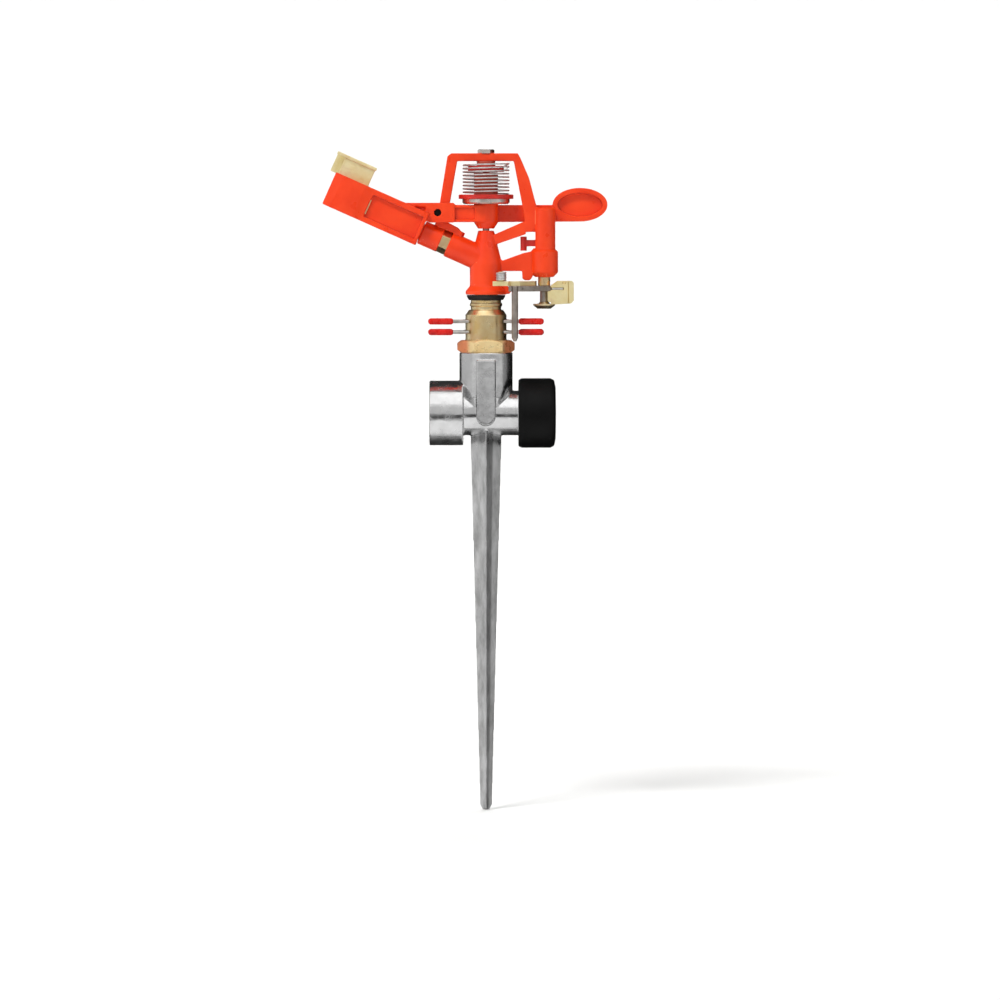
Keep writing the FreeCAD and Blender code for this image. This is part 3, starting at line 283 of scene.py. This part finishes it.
class Finish:
    """One material: coats of colour, a relief of fine bumps and a gloss that varies."""

    def __init__(self, name, **sockets):
        self.material = bpy.data.materials.new(name)
        self.material.use_nodes = True
        self.tree = self.material.node_tree
        self.shader = self.tree.nodes["Principled BSDF"]
        for label, value in sockets.items():
            self.shader.inputs[label.replace("_", " ")].default_value = value
        self.place = node(self.tree, "ShaderNodeTexCoord").outputs["Object"]

    def grain(self, size_mm, detail, rough=0.55, stretch=(1, 1, 1), distort=0.0):
        """A random pattern from 0 to 1 with blobs about size_mm across, drawn out along an axis
        where stretch is under 1."""
        moved = node(self.tree, "ShaderNodeMapping", {"Vector": self.place, "Scale": stretch})
        return node(self.tree, "ShaderNodeTexNoise", {
            "Vector": moved.outputs[0], "Scale": 1 / (size_mm * MM * 2), "Detail": detail,
            "Roughness": rough, "Distortion": distort}).outputs["Fac"]

    def patches(self, size_mm, detail, over, share=(0, 1), **shape):
        """Random patches: the share goes from its first to its second value over that much of
        the grain's range."""
        return node(self.tree, "ShaderNodeMapRange", {
            "Value": self.grain(size_mm, detail, **shape), "From Min": over[0],
            "From Max": over[1], "To Min": share[0], "To Max": share[1]}).outputs["Result"]

    def edges(self, over, share=(0, 1)):
        """A share that changes as the form turns from inside corner to outer edge."""
        form = node(self.tree, "ShaderNodeNewGeometry").outputs["Pointiness"]
        return node(self.tree, "ShaderNodeMapRange", {
            "Value": form, "From Min": over[0], "From Max": over[1],
            "To Min": share[0], "To Max": share[1]}).outputs["Result"]

    def coats(self, colour, *later):
        """Lays one colour over another, each showing by its own share."""
        for over, share in later:
            colour = node(self.tree, "ShaderNodeMix", {
                MIX_SHARE: share, MIX_UNDER: colour, MIX_OVER: over},
                data_type="RGBA").outputs[MIX_RESULT]
        return colour

    def done(self, colour, gloss, *relief):
        """Joins the colour, the roughness and the relief, given as (pattern, depth in mm)."""
        surface = {"Base Color": colour, "Roughness": gloss}
        for height, depth_mm in relief:
            under = {"Normal": surface["Normal"]} if "Normal" in surface else {}
            surface["Normal"] = node(self.tree, "ShaderNodeBump", {
                "Height": height, "Distance": depth_mm * MM, "Strength": 1.0,
                **under}).outputs["Normal"]
        for label, value in surface.items():
            self.tree.links.new(value, self.shader.inputs[label])
        return self.material


def red_enamel():
    """Orange-red enamel sprayed on zinc castings: a wet gloss over slight orange peel, with a
    painted highlight on outer edges and painted shade in inside corners."""
    f = Finish("red_enamel", IOR=1.45, Specular_IOR_Level=0.38, Coat_Weight=0.07,
               Coat_Roughness=0.1)
    colour = f.coats("#e83608", ("#f3420e", f.patches(8, 3, MIDDLE)),
                     # painted shade: darker in inside corners, where shade falls
                     ("#8c1404", f.edges((0.40, 0.495), FADING)),
                     # painted highlight: lighter on the outer edges
                     ("#ff7c55", f.edges(SHARPLY_OUT, (0, 0.7))))
    return f.done(colour, f.patches(4, 4, MOST, (0.26, 0.42)),
                  (f.grain(1.4, 2), 0.035), (f.grain(0.5, 2), 0.008))


def red_moulding():
    """Red acetal, injection moulded: a softer gloss than the enamel and a faint grain. The spool's
    sleeve, where the spring rubs, has gone dull and chalky."""
    f = Finish("red_moulding", IOR=1.48)
    flat = node(f.tree, "ShaderNodeVectorMath", {0: f.place, 1: (1, 1, 0)}, operation="MULTIPLY")
    off_axis = node(f.tree, "ShaderNodeVectorMath", {0: flat.outputs[0]}, operation="LENGTH")
    chalky = node(f.tree, "ShaderNodeMapRange", {
        "Value": off_axis.outputs["Value"], "From Min": SLEEVE_RADIUS_MM * MM,
        "From Max": (SLEEVE_RADIUS_MM + SLEEVE_BLEND_MM) * MM, "To Min": 0.9, "To Max": 0})
    colour = f.coats("#b81d15", ("#d02a20", f.patches(3, 3, MIDDLE)),
                     ("#b4513c", chalky.outputs["Result"]),
                     # painted shade: darker in inside corners, where shade falls
                     ("#6e0f0c", f.edges((0.40, 0.49), FADING)))
    return f.done(colour, f.patches(2, 3, MOST, (0.3, 0.44)), (f.grain(0.4, 3), 0.012))


def red_vinyl():
    """Plasticised vinyl the wire was dipped in: saturated, soft gloss, uneven in thickness."""
    f = Finish("red_vinyl", IOR=1.53, Specular_IOR_Level=0.3)
    colour = f.coats("#bb0c06", ("#d2180d", f.patches(2.5, 2, MIDDLE)),
                     # painted highlight: lighter on the outer edges
                     ("#e8473a", f.edges(SHARPLY_OUT, (0, 0.4))))
    return f.done(colour, f.patches(1.5, 2, MOST, (0.22, 0.36)), (f.grain(1.6, 2), 0.08))


def machined_brass():
    """Free-cutting brass off the lathe: fine turned rings, brown tarnish in the corners, a warm
    lacquer tint in patches and a painted highlight on the outer edges."""
    f = Finish("machined_brass", Metallic=1.0)
    colour = f.coats("#fbe9bd", ("#ecca8a", f.patches(3, 4, MOST)),
                     ("#cf7f4e", f.patches(7, 3, (0.56, 0.72), (0, 0.4), distort=0.4)),
                     ("#6e4a22", f.edges(TURNED_IN, FADING)),
                     # painted highlight: lighter on the outer edges
                     ("#f6e8bd", f.edges(TURNED_OUT)))
    # the real rings are 0.1 mm apart, drawn here at 0.3 mm so that they show
    rings = f.grain(0.3, 2, stretch=(0.05, 0.05, 1))
    return f.done(colour, f.patches(1.6, 5, MOST, (0.24, 0.42)),
                  (rings, 0.012), (f.grain(0.7, 4), 0.014))


def hexagon_brass():
    """The same brass where the bar's hexagon was left as drawn: smoother, with a painted
    reflection of the red paint in orange on the side flats and a painted highlight on the outer
    edges."""
    f = Finish("hexagon_brass", Metallic=0.4)
    across = node(f.tree, "ShaderNodeSeparateXYZ", {"Vector": f.place}).outputs["X"]
    outward = node(f.tree, "ShaderNodeMath", {0: across}, operation="ABSOLUTE").outputs[0]
    # painted reflection: the side flats take the orange of the red paint mirrored in them
    red_reflection = node(f.tree, "ShaderNodeMapRange", {
        "Value": outward, "From Min": HEXAGON_RED_REFLECTION_MM[0] * MM,
        "From Max": HEXAGON_RED_REFLECTION_MM[1] * MM, "To Max": HEXAGON_RED_REFLECTION_SHARE})
    colour = f.coats("#f6dfa9", ("#e6c386", f.patches(3, 4, MOST)),
                     ("#d8683a", red_reflection.outputs["Result"]),
                     ("#6e4a22", f.edges(TURNED_IN, FADING)),
                     # painted highlight: lighter on the outer edges
                     ("#f6e8bd", f.edges(TURNED_OUT)))
    return f.done(colour, f.patches(1.6, 5, MOST, (0.22, 0.42)), (f.grain(1.2, 4), 0.03))


def cast_brass():
    """Pressed and blasted brass: pale, greenish yellow, with a fine satin skin and a painted
    highlight on the outer edges.
    """
    f = Finish("cast_brass", Metallic=0.75)
    colour = f.coats("#fff2c2", ("#edd896", f.patches(4, 4, MOST)),
                     ("#c98f63", f.patches(5, 3, (0.6, 0.75), (0, 0.4), distort=0.5)),
                     ("#7d6534", f.edges(TURNED_IN, FADING)),
                     # painted highlight: lighter on the outer edges
                     ("#fbf3cf", f.edges(TURNED_OUT)))
    return f.done(colour, f.patches(2, 4, MOST, (0.42, 0.6)),
                  (f.grain(2.2, 3), 0.06), (f.grain(0.6, 4), 0.03))


def polished_zinc():
    """Zinc casting, tumbled and chromed: bright on the tee with the casting's ripple under it,
    and duller and mottled down the spike, where the plating is thin."""
    f = Finish("polished_zinc", Metallic=1.0)
    height = node(f.tree, "ShaderNodeSeparateXYZ", {"Vector": f.place}).outputs["Z"]
    spike = node(f.tree, "ShaderNodeMapRange", {
        "Value": height, "From Min": SPIKE_TOP_MM * MM,
        "From Max": (SPIKE_TOP_MM + SPIKE_BLEND_MM) * MM,
        "To Min": 1, "To Max": 0}).outputs["Result"]
    dull = f.coats("#f6f6f6", ("#c0c0bf", f.patches(3, 6, (0.36, 0.64), rough=0.65,
                                                    stretch=(1, 1, 0.35))))
    colour = f.coats("#e6e6e6", ("#cfcfcf", f.patches(5, 5, MOST)), (dull, spike),
                     ("#4e4c4a", f.edges((0.40, 0.48), FADING)))
    blur = node(f.tree, "ShaderNodeMath", {0: spike, 1: SPIKE_EXTRA_ROUGHNESS},
                operation="MULTIPLY")
    gloss = node(f.tree, "ShaderNodeMath", {
        0: f.patches(2.2, 6, (0.35, 0.7), (0.13, 0.32)), 1: blur.outputs[0]}, operation="ADD")
    return f.done(colour, gloss.outputs[0], (f.grain(4, 3), 0.09), (f.grain(1.0, 4), 0.014))


def black_polymer():
    """Black polypropylene with a satin moulded skin, lightly scuffed on the rims."""
    f = Finish("black_polymer", IOR=1.49, Specular_IOR_Level=0.15)
    colour = f.coats("#040404", ("#0a0a0a", f.patches(4, 4, (0.35, 0.7))),
                     ("#262626", f.edges((0.55, 0.7), (0, 0.6))))
    return f.done(colour, f.patches(2, 4, MOST, (0.42, 0.6)), (f.grain(0.4, 3), 0.02))


def black_rubber():
    """Nitrile rubber: matt, grey where it is dusty."""
    f = Finish("black_rubber", IOR=1.52)
    colour = f.coats("#070605", ("#1c1412", f.patches(2, 4, (0.35, 0.7))))
    return f.done(colour, f.patches(1.5, 3, MOST, (0.55, 0.75)), (f.grain(0.4, 3), 0.03))


def drawn_steel(name, light, dark, rough, along=(1, 1, 0.05)):
    """Drawn steel: fine lines along its length, brown where oil and dirt have stayed."""
    f = Finish(name, Metallic=1.0)
    colour = f.coats(light, (dark, f.patches(2.5, 5, MOST)),
                     ("#5a4a3c", f.edges(TURNED_IN, FADING)))
    # the real drawing lines are too fine to show, so they are drawn 0.3 mm apart
    return f.done(colour, f.patches(1.2, 4, MOST, (rough - 0.08, rough + 0.12)),
                  (f.grain(0.3, 2, stretch=along), 0.01))


def galvanised_wire():
    """Spring wire with a zinc coat: silvery white with a crystalline dullness."""
    f = Finish("galvanised_wire", Metallic=0.7)
    colour = f.coats("#e4e2e1", ("#b9b6b4", f.patches(1.2, 5, MOST)))
    return f.done(colour, f.patches(0.8, 4, MOST, (0.32, 0.5)), (f.grain(0.4, 3), 0.012))


def bright_nickel():
    """Nickel plate on pressed steel: a bright, slightly warm mirror with a soft ripple."""
    f = Finish("bright_nickel", Metallic=1.0)
    colour = f.coats("#f0eae4", ("#d4c9c0", f.patches(3, 4, MOST)),
                     ("#5c5048", f.edges(TURNED_IN, FADING)))
    return f.done(colour, f.patches(1.5, 4, MOST, (0.2, 0.36)), (f.grain(1.0, 3), 0.012))


def natural_nylon():
    """Unfilled nylon as moulded: waxy off-white."""
    f = Finish("natural_nylon", Subsurface_Weight=0.1, IOR=1.53)
    colour = f.coats("#e8e5d8", ("#d6d1be", f.patches(2, 3, MOST)))
    return f.done(colour, f.patches(1.5, 3, MOST, (0.4, 0.55)), (f.grain(0.4, 3), 0.01))


FINISH = {
    "red_paint": red_enamel(),
    "red_plastic": red_moulding(),
    "red_vinyl": red_vinyl(),
    "brass": machined_brass(),
    "bright_zinc": polished_zinc(),
    "cap_plastic": black_polymer(),
    "black_rubber": black_rubber(),
    "clip_wire": drawn_steel("clip_wire", "#d8d4ce", "#a39d96", 0.34, (0.05, 1, 1)),
    "pin_steel": drawn_steel("pin_steel", "#c4b9b0", "#94887d", 0.42),
    "spring_steel": galvanised_wire(),
    "nickel": bright_nickel(),
    "white_nylon": natural_nylon(),
}
FINISH["washer_rubber"] = FINISH["black_rubber"]
CAST_BRASS = cast_brass()
HEXAGON_BRASS = hexagon_brass()

# ---- pieces --------------------------------------------------------------------------------

# pieces of pressed or cast brass; the other brass is turned
CAST_PIECES = ("drive_vane", "swing_weight", "trip_link")

# pieces with edges worn round: the size of the skin's cells in mm, and the passes of smoothing
CASTINGS = {
    "spike_body": (0.34, 5),
    "head_casting": (0.26, 6),
    "impact_arm": (0.28, 6),
    "end_cap": (0.3, 8),
    "bearing_nipple": (0.18, 4),
    "swing_weight": (0.14, 6),
    "drive_vane": (0.16, 3),
    "trip_lever": (0.12, 3),
    "trip_link": (0.12, 3),
    "nozzle_nut": (0.12, 3),
    "nozzle": (0.14, 2),
    "pin_nut": (0.1, 3),
    "tension_ring": (0.12, 3),
    "spring_spool": (0.16, 3),
    "spring_cup": (0.1, 3),
    "trip_washer": (0.1, 3),
    "trip_bush": (0.1, 3),
    "trip_spacer": (0.1, 3),
    "reversing_latch": (0.12, 3),
    "trip_pin": (0.1, 4),
    "top_seal": (0.12, 3),
    "arm_plug": (0.1, 3),
}
GROWTH_SHARE = 0.25
SMOOTHING = 0.5
TIP_VOXEL_MM = 0.12
TIP_PASSES = 3
CURVE_DEGREE = 3
BEND_POINTS = 12
ROUND_POINTS = 4
TAIL_RADIUS_MM = 0.36
NIPPLE_RADIUS = 10.2 * MM


def finish_of(node_name):
    """The material for a node's slot, except that cast brass looks unlike turned brass."""
    if node_name in CAST_PIECES:
        return CAST_BRASS
    return FINISH[SLOT_OF[node_name]]


def apply_modifiers(piece):
    """Turns what the modifiers show into the piece's own mesh."""
    view = bpy.context.evaluated_depsgraph_get()
    view.update()
    made = bpy.data.meshes.new_from_object(piece.evaluated_get(view))
    piece.modifiers.clear()
    old = piece.data
    piece.data = made
    bpy.data.meshes.remove(old)


def soften(node_name, voxel_mm, passes, name=None):
    """The node's own form with its edges worn round and its inside corners filled, as cast metal
    is. Smoothing draws a form in a little, so it is grown back by the same amount."""
    mesh = NODES[node_name].data.copy()
    piece = new_object(name or f"{node_name}_cast", mesh)
    remesh = piece.modifiers.new("skin", "REMESH")
    remesh.mode = "VOXEL"
    remesh.voxel_size = voxel_mm * MM
    smooth = piece.modifiers.new("worn", "SMOOTH")
    smooth.factor = SMOOTHING
    smooth.iterations = passes
    grow = piece.modifiers.new("grown", "DISPLACE")
    grow.mid_level = 0
    grow.strength = GROWTH_SHARE * voxel_mm * MM
    apply_modifiers(piece)
    return dress(piece, node_name)


def dress(piece, node_name):
    """Gives a piece its material and its body, and hides the CAD node it stands for."""
    piece.data.materials.clear()
    piece.data.materials.append(finish_of(node_name))
    for face in piece.data.polygons:
        face.use_smooth = True
    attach(piece, BODY_OF[node_name])
    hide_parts(node_name)
    return piece


for node_name, cad_piece in NODES.items():
    cad_piece.data.materials.clear()
    cad_piece.data.materials.append(finish_of(node_name))

PIECES = {name: soften(name, voxel_mm, passes) for name, (voxel_mm, passes) in CASTINGS.items()}


def round_tips(node_name):
    """Dipped vinyl tips, one on either side of the riser, with both ends drawn in to a dome."""
    piece = soften(node_name, TIP_VOXEL_MM, TIP_PASSES, f"{node_name}_dipped")
    for side in (-1, 1):
        points = [v for v in piece.data.vertices if v.co.x * side > 0]
        low = Vector([min(v.co[axis] for v in points) for axis in range(3)])
        high = Vector([max(v.co[axis] for v in points) for axis in range(3)])
        middle, radius = (low + high) / 2, (high.z - low.z) / 2
        for point in points:
            inner = min(point.co.x - low.x, high.x - point.co.x)
            share = min(inner / radius, 1)
            scale = math.sqrt(max(0, 1 - (1 - share) ** 2))
            for axis in (1, 2):
                point.co[axis] = middle[axis] + (point.co[axis] - middle[axis]) * scale


for node_name in ("upper_clip_tips", "lower_clip_tips"):
    round_tips(node_name)


def wire_piece(name, stands_with, points, radius_mm):
    """A short bent wire with rounded bends and a cut end."""
    curve = bpy.data.curves.new(name, "CURVE")
    curve.dimensions = "3D"
    line = curve.splines.new("NURBS")
    line.points.add(len(points) - 1)
    for point, place in zip(line.points, points):
        point.co = (*[value * MM for value in place], 1)
    line.order_u = CURVE_DEGREE
    line.use_endpoint_u = True
    curve.resolution_u = BEND_POINTS
    curve.bevel_depth = radius_mm * MM
    curve.bevel_resolution = ROUND_POINTS
    curve.use_fill_caps = True
    rough = new_object(f"{name}_curve", curve)
    view = bpy.context.evaluated_depsgraph_get()
    view.update()
    mesh = bpy.data.meshes.new_from_object(rough.evaluated_get(view))
    bpy.data.objects.remove(rough)
    piece = new_object(name, mesh)
    mesh.materials.clear()
    mesh.materials.append(finish_of(stands_with))
    for face in mesh.polygons:
        face.use_smooth = True
    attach(piece, BODY_OF[stands_with])


# the arm spring's top turn ends in a tail hooked over the tension ring, past its rim
SPRING_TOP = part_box("arm_spring")[1].z / MM - 0.4
RING_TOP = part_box("tension_ring")[0].z / MM + 2.8
wire_piece("spring_tail", "arm_spring", [
    (10.9, 0, SPRING_TOP), (10.6, -3.4, SPRING_TOP - 0.3), (9.6, -6.4, SPRING_TOP - 0.9),
    (8.0, -8.2, RING_TOP - 0.4), (10.4, -8.6, RING_TOP - 1.2)], TAIL_RADIUS_MM)

# the nipple's hexagon, which stands out further than its round body, takes its own finish
nipple = PIECES["bearing_nipple"].data
nipple.materials.append(HEXAGON_BRASS)
for face in nipple.polygons:
    face.material_index = int(face.center.xy.length > NIPPLE_RADIUS)

bpy.context.view_layer.update()
